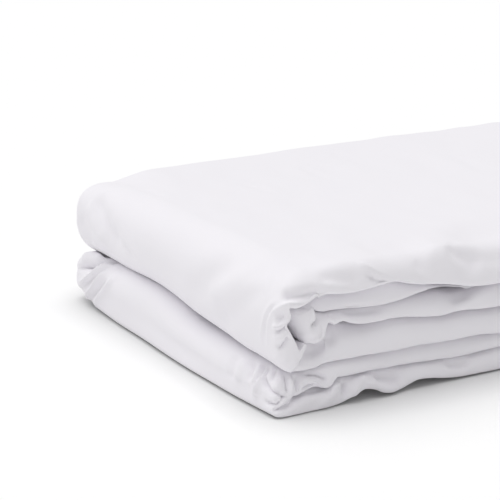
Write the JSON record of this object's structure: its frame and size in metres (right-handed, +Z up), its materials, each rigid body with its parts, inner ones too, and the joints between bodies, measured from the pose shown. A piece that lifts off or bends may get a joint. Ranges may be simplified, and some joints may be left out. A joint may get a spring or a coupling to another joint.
{
  "type": "folded fitted sheet",
  "caption": "White cotton fitted sheet folded back and forth into a flat, soft bundle with rounded turns at one end; it lies on a shelf or bed.",
  "frame": {"origin": "middle of the bundle's base, where it rests on the surface", "axes": "+X along the long side, from the rounded turns towards the right end; +Y from the front with the layers' folded edges towards the back; +Z up"},
  "size_m": [0.4018, 0.2856, 0.09],
  "materials": {
    "white_cotton": "matte"
  },
  "bodies": {
    "root": {"folded_sheet": "white_cotton"}
  },
  "joints": []
}
